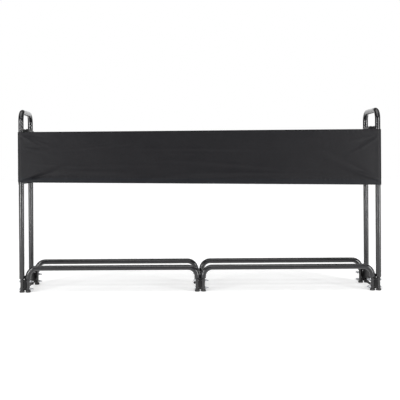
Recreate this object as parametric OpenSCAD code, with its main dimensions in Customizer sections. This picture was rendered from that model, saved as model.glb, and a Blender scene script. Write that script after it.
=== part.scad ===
// Firewood log rack: two looped end frames and four bottom rails of bent round tube,
// bolted together over three pairs of cross brackets, with a fabric cover that hangs
// over the top and slides up and down the uprights.
// The rack stands on z = 0 and is centred on x = 0, y = 0. Its length runs along X.

/* [Rack] */
// Overall length over the end frames
rack_l = 2400; // [1200:10:3000]
// Overall depth over the front and back tubes
rack_d = 360; // [300:5:500]
// Overall height to the top of the end loops
rack_h = 1215; // [1000:5:1600]

/* [Tube] */
// Outside diameter of the bent tube
tube_od = 35; // [26:0.1:40]
// Wall of the bent tube
tube_wall = 1.5; // [1:0.1:2.5]
// Centreline radius of the bends at the top of the loops
loop_r = 60; // [50:1:100]
// Centreline radius of the bends at the ends of the rails
rail_r = 60; // [50:1:80]
// Straight tube between the shoulder of a leg and the bend above it
rail_rise = 9; // [1:1:120]

/* [Feet] */
// Gap between the two tubes that stand side by side at each foot
pair_gap = 6; // [5:0.5:16]
// Outside diameter of the necked leg ends
neck_od = 22; // [18:0.1:27]
// Height at which the neck ends and the shoulder starts
neck_top = 84; // [70:1:105]
// Height of the tapered shoulder
shoulder_h = 7; // [4:1:12]

/* [Foot caps] */
// Wall of a foot cap around its leg
cap_wall = 6; // [3:0.1:7.5]
// Height of a foot cap
cap_h = 13; // [8:0.5:15]
// Thickness of the floor under the leg
cap_floor = 3; // [2:0.5:5]
// Bevel on the edges of a cap
cap_bevel = 1.2; // [0.4:0.1:2]
// Radial clearance between a cap and its leg
cap_clear = 0.1; // [0.05:0.05:0.3]

/* [Cross brackets] */
// Depth of a bracket post, front to back
post_d = 14; // [13:1:24]
// Clearance between a post and the leg beside it
post_clear = 0.2; // [0.1:0.05:0.5]
// Gap between the foot caps and the underside of the posts
post_lift = 1; // [0.5:0.5:4]
// Thickness of the cross panel and the tie
panel_t = 6; // [3:0.1:7.5]
// Height at which the cross panel starts
panel_z = 41; // [36:1:50]
// Height at which the cross panel ends
panel_top = 110; // [90:1:120]
// Height at which the lower tie ends
tie_top = 31; // [26:1:34]

/* [Fasteners] */
// Shank diameter of the bolts
bolt_d = 8; // [6:0.1:10]
// Length of the bolts under the head
bolt_l = 90; // [85:1:120]
// Distance across the flats of the bolt head
head_af = 13; // [10:0.5:17]
// Height of the bolt head
head_h = 5.3; // [4:0.1:8]
// Radial clearance of the bolts in the legs and posts
bolt_clear = 0.25; // [0.1:0.05:0.5]
// Distance of a bolt from the cap below it or the shoulder above it
bolt_edge = 11; // [9:0.5:16]
// Outside diameter of the washers
washer_od = 16; // [14:0.5:20]
// Thickness of the washers
washer_t = 1.6; // [1:0.1:2.5]
// Gap between a washer and the round side of a leg
washer_gap = 0.2; // [0.1:0.05:0.4]

/* [Wing nuts] */
// Diameter of the hub at its base
hub_d = 15; // [13:0.5:18]
// Diameter of the hub at its top
hub_top_d = 12.5; // [11:0.5:15]
// Height of the hub
hub_h = 9; // [7:0.5:12]
// Distance across the tips of the wings
wing_span = 35; // [28:1:38]
// Height of the wings above the base of the hub
wing_h = 19; // [16:0.5:22]
// Radius of the rounded tip of a wing
wing_tip_r = 5; // [4:0.25:6]
// Thickness of a wing
wing_t = 2.6; // [2:0.1:4]
// Angle of the wings to the horizontal
wing_turn = 20; // [0:5:40]
// Radial clearance of the wing nuts on the bolts
thread_clear = 0.05; // [0.02:0.01:0.1]

/* [Cover] */
// Height of the end loops above the cover
loop_show = 151; // [100:1:250]
// Drop of the cover from its top to its hem
cover_drop = 349; // [200:1:500]
// Thickness of the cover panels
fabric_t = 1.5; // [1:0.1:3]
// Clearance between the cover and the end frames
cover_clear = 0.5; // [0.3:0.1:3]
// Fabric left between a loop slot and the front or back edge
slot_edge = 3; // [2:0.5:6]
// Slack between a loop slot and the inner side of the uprights
slot_slack = 4; // [2:0.5:10]
// Gap between a flap and the edge of the top that it hangs from
flap_gap = 0.6; // [0.4:0.05:1]

/* [Corner tabs] */
// Length of a tab around the corner
tab_l = 40; // [25:1:80]
// Width of a tab
tab_w = 38; // [20:1:60]
// Distance of a tab from the hem below it or the top above it
tab_inset = 30; // [10:1:80]

/* [Hidden] */
$fn = 64;
eps = 1;
FRONT = -1;
BACK = 1;
LEFT = -1;
RIGHT = 1;
CENTRE = 0;

leg_x = rack_l / 2 - tube_od / 2;
leg_y = rack_d / 2 - tube_od / 2;
leg_z = cap_floor;
neck_len = neck_top - leg_z;
tube_z = neck_top + shoulder_h;
rail_z = tube_z + rail_rise + rail_r;
pair_pitch = tube_od + pair_gap;
rail_outer_x = leg_x - pair_pitch;
rail_inner_x = pair_pitch / 2;
foot_x = leg_x - pair_pitch / 2;
cap_od = neck_od + 2 * cap_wall;
bolt_heights = [cap_h + bolt_edge, neck_top - bolt_edge];

post_w = pair_pitch - neck_od - 2 * post_clear;
post_z = cap_h + post_lift;
post_top = neck_top;
cross_l = 2 * leg_y - post_d;

neck_side = pair_pitch / 2 + neck_od / 2;
washer_x = neck_side + washer_gap;
seat_x = washer_x + washer_t;

cover_top_z = rack_h - loop_show;
slot_half_d = rack_d / 2 + cover_clear;
slot_in_x = rack_l / 2 - tube_od - slot_slack;
slot_out_x = rack_l / 2 + cover_clear;
top_half_l = slot_out_x + fabric_t;
top_half_d = slot_half_d + slot_edge;
hem_z = cover_top_z - cover_drop;
panel_under_z = cover_top_z - fabric_t;
flap_y = top_half_d + flap_gap;
tab_x = top_half_l + flap_gap;
tab_heights = [hem_z + tab_inset, panel_under_z - tab_inset - tab_w];

// Places its children at a foot: station is LEFT, CENTRE or RIGHT, side is FRONT or BACK.
// +X of the children points at the wing nuts, so the end feet face inwards.
module at_foot(station, side)
    translate([station * foot_x, side * leg_y, 0])
        mirror([station == RIGHT ? 1 : 0, 0, 0])
            children();

// Straight leg from the cap up to z = top: a neck, a tapered shoulder, then the tube.
module leg(tube_r, neck_r, top, cut) {
    translate([0, 0, leg_z - cut])
        cylinder(r = neck_r, h = neck_len + cut);
    translate([0, 0, neck_top])
        cylinder(r1 = neck_r, r2 = tube_r, h = shoulder_h);
    translate([0, 0, tube_z])
        cylinder(r = tube_r, h = top - tube_z);
}

// Quarter bend in the XZ plane, from +X round to +Z.
module quarter_bend(bend_r, tube_r)
    rotate([90, 0, 0])
        rotate_extrude(angle = 90)
            translate([bend_r, 0])
                circle(r = tube_r);

// Arch in the XZ plane: two legs a span apart, joined by two bends and a bar at z = bar_z.
module arch(span, bar_z, bend_r, tube_r, neck_r, cut) {
    for (end = [0, 1])
        mirror([end, 0, 0]) {
            translate([span / 2, 0, 0])
                leg(tube_r, neck_r, bar_z - bend_r, cut);
            translate([span / 2 - bend_r, 0, bar_z - bend_r])
                quarter_bend(bend_r, tube_r);
        }
    translate([bend_r - span / 2, 0, bar_z])
        rotate([0, 90, 0])
            cylinder(r = tube_r, h = span - 2 * bend_r);
}

// The same arch as a tube with its wall, open at the two feet.
module tube_arch(span, bar_z, bend_r)
    difference() {
        arch(span, bar_z, bend_r, tube_od / 2, neck_od / 2, 0);
        arch(span, bar_z, bend_r, tube_od / 2 - tube_wall, neck_od / 2 - tube_wall, eps);
    }

// Two bolt holes along X, one above the other.
module bolt_holes(length)
    for (z = bolt_heights)
        translate([-length / 2, 0, z])
            rotate([0, 90, 0])
                cylinder(d = bolt_d + 2 * bolt_clear, h = length);

module end_frame(station)
    color([0.09, 0.09, 0.1])
        translate([station * leg_x, 0, 0])
            difference() {
                rotate([0, 0, 90])
                    tube_arch(2 * leg_y, rack_h - tube_od / 2, loop_r);
                for (side = [FRONT, BACK])
                    translate([0, side * leg_y, 0])
                        bolt_holes(tube_od);
            }

module rail(station, side)
    color([0.09, 0.09, 0.1])
        translate([station * (rail_outer_x + rail_inner_x) / 2, side * leg_y, 0])
            difference() {
                tube_arch(rail_outer_x - rail_inner_x, rail_z, rail_r);
                for (end = [-1, 1])
                    translate([end * (rail_outer_x - rail_inner_x) / 2, 0, 0])
                        bolt_holes(tube_od);
            }

// Two posts that fill the gap between the necked legs, front and back.
module cross_posts(station)
    color([0.12, 0.12, 0.13])
        for (side = [FRONT, BACK])
            at_foot(station, side)
                difference() {
                    translate([-post_w / 2, -post_d / 2, post_z])
                        cube([post_w, post_d, post_top - post_z]);
                    bolt_holes(2 * post_w);
                }

// Flat bar between the posts of one station, from z = low to z = high.
module cross_bar(station, low, high)
    color([0.12, 0.12, 0.13])
        translate([station * foot_x - panel_t / 2, -cross_l / 2, low])
            cube([panel_t, cross_l, high - low]);

// Cup under one leg with bevelled edges.
module foot_cap()
    rotate_extrude()
        difference() {
            polygon([
                [0, 0],
                [cap_od / 2 - cap_bevel, 0],
                [cap_od / 2, cap_bevel],
                [cap_od / 2, cap_h - cap_bevel],
                [cap_od / 2 - cap_bevel, cap_h],
                [0, cap_h]
            ]);
            translate([0, cap_floor])
                square([neck_od / 2 + cap_clear, cap_h]);
        }

module foot_caps(station, side)
    color([0.05, 0.05, 0.05])
        at_foot(station, side)
            for (end = [-1, 1])
                translate([end * pair_pitch / 2, 0, 0])
                    foot_cap();

// Hexagon bolts through both legs and the post, heads on -X.
module bolts(station, side)
    color([0.75, 0.76, 0.78])
        at_foot(station, side)
            for (z = bolt_heights)
                translate([-seat_x, 0, z])
                    rotate([0, 90, 0]) {
                        cylinder(d = bolt_d, h = bolt_l);
                        translate([0, 0, -head_h])
                            cylinder(d = head_af / cos(30), h = head_h, $fn = 6);
                    }

// A washer under each head and each nut.
module washers(station, side)
    color([0.7, 0.71, 0.73])
        at_foot(station, side)
            for (z = bolt_heights, x = [-seat_x, washer_x])
                translate([x, 0, z])
                    rotate([0, 90, 0])
                        difference() {
                            cylinder(d = washer_od, h = washer_t);
                            translate([0, 0, -eps])
                                cylinder(d = bolt_d + 2 * bolt_clear, h = washer_t + 2 * eps);
                        }

// Wing nut with its base on z = 0 and its wings along X.
module wing_nut() {
    root_r = hub_top_d / 2 - 1;
    tip_x = wing_span / 2 - wing_tip_r;
    tip_z = wing_h - wing_tip_r;
    difference() {
        union() {
            cylinder(d1 = hub_d, d2 = hub_top_d, h = hub_h);
            for (end = [0, 1])
                mirror([end, 0, 0])
                    rotate([90, 0, 0])
                        translate([0, 0, -wing_t / 2])
                            linear_extrude(wing_t) {
                                polygon([
                                    [root_r, 1],
                                    [hub_d / 2 + 1, 1],
                                    [tip_x + wing_tip_r * cos(25), tip_z - wing_tip_r * sin(25)],
                                    [tip_x - wing_tip_r * cos(25), tip_z + wing_tip_r * sin(25)],
                                    [root_r, hub_h - 1]
                                ]);
                                translate([tip_x, tip_z])
                                    circle(r = wing_tip_r);
                            }
        }
        translate([0, 0, -eps])
            cylinder(r = bolt_d / 2 + thread_clear, h = wing_h + 2 * eps);
    }
}

module wing_nuts(station, side)
    color([0.78, 0.79, 0.81])
        at_foot(station, side)
            for (z = bolt_heights)
                translate([seat_x, 0, z])
                    rotate([0, 90, 0])
                        rotate([0, 0, 90 + wing_turn])
                            wing_nut();

// Top of the cover, with a slot for each end loop.
module cover_top()
    color([0.17, 0.17, 0.18])
        difference() {
            translate([-top_half_l, -top_half_d, panel_under_z])
                cube([2 * top_half_l, 2 * top_half_d, fabric_t]);
            for (end = [0, 1])
                mirror([end, 0, 0])
                    translate([slot_in_x, -slot_half_d, panel_under_z - eps])
                        cube([slot_out_x - slot_in_x, 2 * slot_half_d, fabric_t + 2 * eps]);
        }

module cover_end(station)
    color([0.17, 0.17, 0.18])
        translate([station * (slot_out_x + fabric_t / 2) - fabric_t / 2, -top_half_d, hem_z])
            cube([fabric_t, 2 * top_half_d, panel_under_z - hem_z]);

module flap(side)
    color([0.16, 0.16, 0.17])
        translate([-top_half_l, side * (flap_y + fabric_t / 2) - fabric_t / 2, hem_z])
            cube([2 * top_half_l, fabric_t, panel_under_z - hem_z]);

// Hook-and-loop tabs that fold from the ends of a flap round the corners.
module tabs(side)
    color([0.1, 0.1, 0.11])
        for (end = [0, 1], z = tab_heights)
            mirror([end, 0, 0])
                mirror([0, side == FRONT ? 1 : 0, 0])
                    translate([0, 0, z]) {
                        translate([tab_x, flap_y + fabric_t - tab_l, 0])
                            cube([fabric_t, tab_l, tab_w]);
                        translate([top_half_l, flap_y, 0])
                            cube([tab_x - top_half_l, fabric_t, tab_w]);
                    }

end_frame(LEFT);  // end_frame_left
end_frame(RIGHT);  // end_frame_right
rail(LEFT, FRONT);  // rail_front_left
rail(RIGHT, FRONT);  // rail_front_right
rail(LEFT, BACK);  // rail_back_left
rail(RIGHT, BACK);  // rail_back_right
cross_posts(LEFT);  // cross_posts_left
cross_posts(CENTRE);  // cross_posts_centre
cross_posts(RIGHT);  // cross_posts_right
cross_bar(LEFT, panel_z, panel_top);  // cross_panel_left
cross_bar(CENTRE, panel_z, panel_top);  // cross_panel_centre
cross_bar(RIGHT, panel_z, panel_top);  // cross_panel_right
cross_bar(LEFT, post_z, tie_top);  // cross_tie_left
cross_bar(CENTRE, post_z, tie_top);  // cross_tie_centre
cross_bar(RIGHT, post_z, tie_top);  // cross_tie_right
foot_caps(LEFT, FRONT);  // caps_front_left
foot_caps(CENTRE, FRONT);  // caps_front_centre
foot_caps(RIGHT, FRONT);  // caps_front_right
foot_caps(LEFT, BACK);  // caps_back_left
foot_caps(CENTRE, BACK);  // caps_back_centre
foot_caps(RIGHT, BACK);  // caps_back_right
bolts(LEFT, FRONT);  // bolts_front_left
bolts(CENTRE, FRONT);  // bolts_front_centre
bolts(RIGHT, FRONT);  // bolts_front_right
bolts(LEFT, BACK);  // bolts_back_left
bolts(CENTRE, BACK);  // bolts_back_centre
bolts(RIGHT, BACK);  // bolts_back_right
washers(LEFT, FRONT);  // washers_front_left
washers(CENTRE, FRONT);  // washers_front_centre
washers(RIGHT, FRONT);  // washers_front_right
washers(LEFT, BACK);  // washers_back_left
washers(CENTRE, BACK);  // washers_back_centre
washers(RIGHT, BACK);  // washers_back_right
wing_nuts(LEFT, FRONT);  // wing_nuts_front_left
wing_nuts(CENTRE, FRONT);  // wing_nuts_front_centre
wing_nuts(RIGHT, FRONT);  // wing_nuts_front_right
wing_nuts(LEFT, BACK);  // wing_nuts_back_left
wing_nuts(CENTRE, BACK);  // wing_nuts_back_centre
wing_nuts(RIGHT, BACK);  // wing_nuts_back_right
cover_top();
cover_end(LEFT);  // cover_end_left
cover_end(RIGHT);  // cover_end_right
flap(FRONT);  // front_flap
flap(BACK);  // back_flap
tabs(FRONT);  // front_tabs
tabs(BACK);  // back_tabs
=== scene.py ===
"""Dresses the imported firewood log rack: coated steel tubes, zinc fasteners and a fitted cloth cover."""
import math

import bmesh
import bpy
import numpy as np
from mathutils import Matrix, Vector


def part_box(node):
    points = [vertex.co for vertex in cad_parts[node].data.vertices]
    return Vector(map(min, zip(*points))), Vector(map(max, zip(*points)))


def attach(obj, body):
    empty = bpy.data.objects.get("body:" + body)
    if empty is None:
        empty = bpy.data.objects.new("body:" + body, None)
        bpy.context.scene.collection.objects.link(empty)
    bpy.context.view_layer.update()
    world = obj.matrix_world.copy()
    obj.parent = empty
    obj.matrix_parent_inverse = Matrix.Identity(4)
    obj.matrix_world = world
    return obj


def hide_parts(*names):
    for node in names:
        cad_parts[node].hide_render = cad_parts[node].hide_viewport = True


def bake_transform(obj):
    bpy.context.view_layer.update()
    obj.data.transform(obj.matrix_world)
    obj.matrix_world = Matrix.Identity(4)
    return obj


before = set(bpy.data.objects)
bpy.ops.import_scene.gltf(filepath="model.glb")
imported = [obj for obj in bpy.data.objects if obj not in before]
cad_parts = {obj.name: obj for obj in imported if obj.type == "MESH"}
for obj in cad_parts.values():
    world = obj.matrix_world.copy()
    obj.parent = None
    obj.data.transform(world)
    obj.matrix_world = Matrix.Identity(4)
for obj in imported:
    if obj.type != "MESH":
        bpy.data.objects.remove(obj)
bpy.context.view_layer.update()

bl_info = {
    "name": "Firewood log rack",
    "version": (1, 0, 0),
    "blender": (4, 5, 0),
    "location": "View3D > Sidebar > Log rack",
    "description": "Builds the finishes, fasteners and cloth cover of a firewood log rack",
    "category": "Object",
}

# Places read from the frame, in metres
MM = 0.001
SIDES = ("left", "centre", "right")
ROWS = ("front", "back")
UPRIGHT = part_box("end_frame_right")
TUBE_R = (UPRIGHT[1].x - UPRIGHT[0].x) / 2
UPRIGHT_X = UPRIGHT[1].x - TUBE_R
UPRIGHT_Y = UPRIGHT[1].y - TUBE_R
TOP_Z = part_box("cover_top")[1].z + 3 * MM
HEM_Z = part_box("front_flap")[0].z
TAB_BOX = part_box("front_tabs")
FEET = [(row, side) for row in ROWS for side in SIDES]

# The flaps and the end panels, with which way each faces and what seeds its folds
FLAPS = (("front", -1, 21), ("back", 1, 57))
ENDS = (("left", -1, 71), ("right", 1, 83))

STAND_UP = Matrix.Rotation(-math.pi / 2, 4, "Y")
MERGE = 1e-6


# ---------------------------------------------------------------- settings

class SteelSettings(bpy.types.PropertyGroup):
    coat_colour: bpy.props.FloatVectorProperty(
        name="Coat colour", description="Powder coat on the tubes",
        subtype="COLOR", size=3, min=0.0, max=1.0, default=(0.0070, 0.0070, 0.0080))
    bracket_colour: bpy.props.FloatVectorProperty(
        name="Bracket colour", description="Satin coat on the cross brackets",
        subtype="COLOR", size=3, min=0.0, max=1.0, default=(0.004, 0.004, 0.0045))
    plate_edge: bpy.props.FloatProperty(
        name="Plate edge", description="Rounding of the cross plates' edges",
        unit="LENGTH", default=1.2 * MM, min=0.0, max=2.5 * MM)
    weld_radius: bpy.props.FloatProperty(
        name="Weld radius", description="Radius of the weld beads at the plates' ends",
        unit="LENGTH", default=2.0 * MM, min=0.5 * MM, max=4.0 * MM)


class HardwareSettings(bpy.types.PropertyGroup):
    zinc_colour: bpy.props.FloatVectorProperty(
        name="Zinc colour", description="Plating on the bolts, washers and wing nuts",
        subtype="COLOR", size=3, min=0.0, max=1.0, default=(0.52, 0.53, 0.55))
    cap_colour: bpy.props.FloatVectorProperty(
        name="Cap colour", description="Moulded plastic of the foot caps",
        subtype="COLOR", size=3, min=0.0, max=1.0, default=(0.010, 0.010, 0.011))
    head_height: bpy.props.FloatProperty(
        name="Head height", description="Height of the bolt heads",
        unit="LENGTH", default=5.3 * MM, min=3 * MM, max=9 * MM)
    shank_radius: bpy.props.FloatProperty(
        name="Shank radius", description="Radius of the bolts over their threads",
        unit="LENGTH", default=4.0 * MM, min=2 * MM, max=8 * MM)
    pitch: bpy.props.FloatProperty(
        name="Thread pitch", description="Distance from one thread to the next",
        unit="LENGTH", default=1.25 * MM, min=0.5 * MM, max=2.5 * MM)
    thread_length: bpy.props.FloatProperty(
        name="Thread length", description="Length of thread on each bolt",
        unit="LENGTH", default=27 * MM, min=10 * MM, max=60 * MM)
    washer_bore: bpy.props.FloatProperty(
        name="Washer bore", description="Radius of the hole in each washer",
        unit="LENGTH", default=4.25 * MM, min=2 * MM, max=8 * MM)
    hub_radius: bpy.props.FloatProperty(
        name="Hub radius", description="Radius of the wing nuts' hubs at their base",
        unit="LENGTH", default=7.5 * MM, min=5 * MM, max=12 * MM)
    hub_height: bpy.props.FloatProperty(
        name="Hub height", description="Height of the wing nuts' hubs",
        unit="LENGTH", default=9 * MM, min=5 * MM, max=15 * MM)
    wing_thickness: bpy.props.FloatProperty(
        name="Wing thickness", description="Thickness of the cast wings",
        unit="LENGTH", default=3.0 * MM, min=1 * MM, max=5 * MM)
    wing_turn: bpy.props.FloatProperty(
        name="Wing turn", description="How far the wing nuts are turned from upright",
        subtype="ANGLE", default=math.radians(20), min=0.0, max=math.pi)
    neck_radius: bpy.props.FloatProperty(
        name="Neck radius", description="Radius of the tube ends that the caps take",
        unit="LENGTH", default=11.1 * MM, min=8 * MM, max=16 * MM)
    cap_floor: bpy.props.FloatProperty(
        name="Cap floor", description="Thickness of plastic under each tube end",
        unit="LENGTH", default=3.0 * MM, min=1 * MM, max=6 * MM)


class CoverSettings(bpy.types.PropertyGroup):
    cloth_colour: bpy.props.FloatVectorProperty(
        name="Cloth colour", description="Coated cloth of the cover",
        subtype="COLOR", size=3, min=0.0, max=1.0, default=(0.0080, 0.0078, 0.0090))
    # Hem colour: a bluish painted reflection laid on the doubled hem, not a second cloth colour.
    hem_reflection_colour: bpy.props.FloatVectorProperty(
        name="Hem colour", description="Cloth of the cover where it is doubled",
        subtype="COLOR", size=3, min=0.0, max=1.0, default=(0.0080, 0.0094, 0.0122))
    tape_colour: bpy.props.FloatVectorProperty(
        name="Tape colour", description="Woven tape round the slots",
        subtype="COLOR", size=3, min=0.0, max=1.0, default=(0.012, 0.012, 0.013))
    tab_colour: bpy.props.FloatVectorProperty(
        name="Tab colour", description="Hook-and-loop tabs at the corners",
        subtype="COLOR", size=3, min=0.0, max=1.0, default=(0.009, 0.009, 0.010))
    stitch_colour: bpy.props.FloatVectorProperty(
        name="Stitch colour", description="Thread of the seams and hems",
        subtype="COLOR", size=3, min=0.0, max=1.0, default=(0.020, 0.020, 0.022))
    cloth_thickness: bpy.props.FloatProperty(
        name="Cloth thickness", description="Thickness of one layer of cloth",
        unit="LENGTH", default=1.0 * MM, min=0.2 * MM, max=2 * MM)
    hem_width: bpy.props.FloatProperty(
        name="Hem width", description="Width of the cloth turned up inside the hem",
        unit="LENGTH", default=33 * MM, min=10 * MM, max=60 * MM)
    seam_width: bpy.props.FloatProperty(
        name="Seam width", description="Width of the flap's edge sewn to the top",
        unit="LENGTH", default=14 * MM, min=6 * MM, max=25 * MM)
    corner_radius: bpy.props.FloatProperty(
        name="Edge radius", description="Rounding where the flaps leave the top",
        unit="LENGTH", default=2.8 * MM, min=1 * MM, max=3 * MM)
    hem_drop: bpy.props.FloatProperty(
        name="Hem drop", description="How much lower the hem hangs at one end than at the other",
        unit="LENGTH", default=29 * MM, min=0.0, max=40 * MM)
    lip_rise: bpy.props.FloatProperty(
        name="Lip rise", description="How far the slots' edges stand up between the loops' legs",
        unit="LENGTH", default=27 * MM, min=0.0, max=40 * MM)
    top_slip: bpy.props.FloatProperty(
        name="Top slip", description="How much lower the top's edge sits at the left end than at the right",
        unit="LENGTH", default=5 * MM, min=0.0, max=15 * MM)
    top_sag: bpy.props.FloatProperty(
        name="Top sag", description="How far the top sinks along its middle",
        unit="LENGTH", default=5 * MM, min=0.0, max=20 * MM)
    fold_height: bpy.props.FloatProperty(
        name="Fold height", description="Height of the tension folds at the corners",
        unit="LENGTH", default=5.0 * MM, min=0.0, max=9 * MM)
    stitch_length: bpy.props.FloatProperty(
        name="Stitch length", description="Distance from one stitch to the next",
        unit="LENGTH", default=5 * MM, min=2 * MM, max=10 * MM)


class StageSettings(bpy.types.PropertyGroup):
    camera_place: bpy.props.FloatVectorProperty(
        name="Camera place", description="Where the camera stands",
        subtype="XYZ", unit="LENGTH", size=3, default=(-0.156, -5.21, 0.862))
    camera_lens: bpy.props.FloatProperty(
        name="Lens", description="Focal length in millimetres", default=68.5, min=20.0, max=200.0)
    camera_shift: bpy.props.FloatVectorProperty(
        name="Shift", description="How far the picture is shifted across and up",
        size=2, default=(0.06, -0.0963))
    camera_roll: bpy.props.FloatProperty(
        name="Roll", description="How far the camera leans", subtype="ANGLE",
        default=math.radians(0.36))
    floor_colour: bpy.props.FloatVectorProperty(
        name="Floor colour", description="Studio floor",
        subtype="COLOR", size=3, min=0.0, max=1.0, default=(0.86, 0.86, 0.86))
    sky_light: bpy.props.FloatProperty(
        name="Room light", description="Even light from all round", default=0.10, min=0.0, max=3.0)
    wall_light: bpy.props.FloatProperty(
        name="Wall light", description="Light from the pale wall behind the rack", default=1.3, min=0.0,
        max=3.0)


# ---------------------------------------------------------------- shader nodes

def add(tree, kind, inputs=None, **settings):
    """Adds a node, sets its options, and links or sets its inputs."""
    node = tree.nodes.new(kind)
    for name, value in settings.items():
        setattr(node, name, value)
    for name, value in (inputs or {}).items():
        if isinstance(value, bpy.types.NodeSocket):
            tree.links.new(value, node.inputs[name])
        else:
            node.inputs[name].default_value = value
    return node


def calc(tree, operation, first, second=0.0):
    """One step of arithmetic, as a socket."""
    return add(tree, "ShaderNodeMath", {0: first, 1: second}, operation=operation).outputs[0]


def blend_colour(tree, share, first, second):
    """Mixes two colours by a share, as a socket."""
    node = add(tree, "ShaderNodeMix", {"Factor": share}, data_type="RGBA")
    for slot, value in ((6, first), (7, second)):
        if isinstance(value, bpy.types.NodeSocket):
            tree.links.new(value, node.inputs[slot])
        else:
            node.inputs[slot].default_value = (*value, 1.0)
    return node.outputs[2]


def remap(tree, value, low, high, to_low, to_high):
    """Maps a value from one range to another, held at its ends."""
    node = add(tree, "ShaderNodeMapRange", {
        "Value": value, "From Min": low, "From Max": high, "To Min": to_low, "To Max": to_high})
    return node.outputs["Result"]


def noise(tree, vector, scale, detail=2.0, roughness=0.5):
    """Soft noise of the given scale, as a socket."""
    node = add(tree, "ShaderNodeTexNoise", {
        "Vector": vector, "Scale": scale, "Detail": detail, "Roughness": roughness})
    return node.outputs["Fac"]


def object_place(tree):
    """Place on the object, in metres, as a socket."""
    return add(tree, "ShaderNodeTexCoord").outputs["Object"]


def cloth_map(tree):
    """Place on the flat cloth, in metres, as a socket."""
    return add(tree, "ShaderNodeUVMap", uv_map="Cloth").outputs["UV"]


def tinted(colour, gain):
    """A colour made lighter or darker."""
    return [gain * part for part in colour]


def new_group(name, inputs, outputs):
    """An empty shader node group with named sockets; returns its tree, input and output nodes."""
    tree = bpy.data.node_groups.new(name, "ShaderNodeTree")
    for label, kind, default in inputs:
        socket = tree.interface.new_socket(name=label, in_out="INPUT", socket_type=kind)
        if default is not None:
            socket.default_value = default
    for label, kind in outputs:
        tree.interface.new_socket(name=label, in_out="OUTPUT", socket_type=kind)
    return tree, tree.nodes.new("NodeGroupInput"), tree.nodes.new("NodeGroupOutput")


def use_group(tree, name, build, inputs):
    """Places a shared effect in a material, building it the first time."""
    shared = bpy.data.node_groups.get(name) or build(name)
    return add(tree, "ShaderNodeGroup", inputs, node_tree=shared)


FLOAT = "NodeSocketFloat"
VECTOR = "NodeSocketVector"


def build_grain(name):
    """Fine surface grain: the orange peel of a coat or the texture of a mould."""
    tree, given, result = new_group(
        name, [("Vector", VECTOR, None), ("Scale", FLOAT, 500.0), ("Patch Scale", FLOAT, 14.0)],
        [("Height", FLOAT), ("Patches", FLOAT)])
    fine = noise(tree, given.outputs["Vector"], given.outputs["Scale"], 3.0)
    finer = noise(tree, given.outputs["Vector"], calc(tree, "MULTIPLY", given.outputs["Scale"], 3.1))
    height = calc(tree, "ADD", calc(tree, "MULTIPLY", fine, 0.7), calc(tree, "MULTIPLY", finer, 0.3))
    patches = noise(tree, given.outputs["Vector"], given.outputs["Patch Scale"], 5.0, 0.6)
    tree.links.new(height, result.inputs["Height"])
    tree.links.new(patches, result.inputs["Patches"])
    return tree


def build_dust(name):
    """Dust and handling: settles on what faces up, in soft clouds, and thickens near the ground."""
    tree, given, result = new_group(
        name, [("Vector", VECTOR, None), ("Amount", FLOAT, 0.3)], [("Mask", FLOAT)])
    normal = add(tree, "ShaderNodeNewGeometry").outputs["Normal"]
    up = add(tree, "ShaderNodeSeparateXYZ", {0: normal}).outputs["Z"]
    facing = remap(tree, up, 0.2, 1.0, 0.0, 1.0)
    height = add(tree, "ShaderNodeSeparateXYZ", {0: given.outputs["Vector"]}).outputs["Z"]
    low = remap(tree, height, 0.0, 0.16, 0.75, 0.0)
    clouds = remap(tree, noise(tree, given.outputs["Vector"], 22.0, 6.0, 0.65), 0.38, 0.7, 0.0, 1.0)
    mask = calc(tree, "MULTIPLY", calc(tree, "MAXIMUM", facing, low), clouds)
    mask = calc(tree, "MULTIPLY", mask, given.outputs["Amount"])
    tree.links.new(mask, result.inputs["Mask"])
    return tree


def build_scuffs(name):
    """Thin scratches that run mostly one way, broken up in patches."""
    tree, given, result = new_group(
        name, [("Vector", VECTOR, None), ("Scale", FLOAT, 30.0), ("Amount", FLOAT, 0.5)],
        [("Mask", FLOAT)])
    masks = []
    for turn in (0.5, 1.9):
        turned_vector = add(tree, "ShaderNodeMapping", {
            "Vector": given.outputs["Vector"], "Rotation": (turn, 0.4 * turn, 0.8 * turn),
            "Scale": (1.0, 14.0, 14.0)}).outputs["Vector"]
        streaks = noise(tree, turned_vector, given.outputs["Scale"], 2.0)
        masks.append(remap(tree, streaks, 0.66, 0.72, 0.0, 1.0))
    patches = noise(tree, given.outputs["Vector"], calc(tree, "MULTIPLY", given.outputs["Scale"], 0.35))
    both = calc(tree, "MULTIPLY", calc(tree, "MAXIMUM", *masks), remap(tree, patches, 0.5, 0.62, 0.0, 1.0))
    tree.links.new(calc(tree, "MULTIPLY", both, given.outputs["Amount"]), result.inputs["Mask"])
    return tree


def build_weave(name):
    """Plain basket weave on a map in metres: yarns that pass over and under each other."""
    tree, given, result = new_group(
        name, [("Vector", VECTOR, None), ("Thread", FLOAT, 0.0011)], [("Height", FLOAT), ("Shade", FLOAT)])
    parts = add(tree, "ShaderNodeSeparateXYZ", {0: given.outputs["Vector"]})
    across = calc(tree, "DIVIDE", parts.outputs["X"], given.outputs["Thread"])
    along = calc(tree, "DIVIDE", parts.outputs["Y"], given.outputs["Thread"])
    warp = calc(tree, "ABSOLUTE", calc(tree, "SINE", calc(tree, "MULTIPLY", across, math.pi)))
    weft = calc(tree, "ABSOLUTE", calc(tree, "SINE", calc(tree, "MULTIPLY", along, math.pi)))
    steps = calc(tree, "ADD", calc(tree, "FLOOR", across), calc(tree, "FLOOR", along))
    over = calc(tree, "PINGPONG", steps, 1.0)
    under = calc(tree, "SUBTRACT", 1.0, over)
    height = calc(tree, "ADD", calc(tree, "MULTIPLY", warp, over), calc(tree, "MULTIPLY", weft, under))
    slubs = noise(tree, given.outputs["Vector"], 90.0, 4.0, 0.6)
    tree.links.new(height, result.inputs["Height"])
    tree.links.new(slubs, result.inputs["Shade"])
    return tree


# ---------------------------------------------------------------- materials

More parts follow.
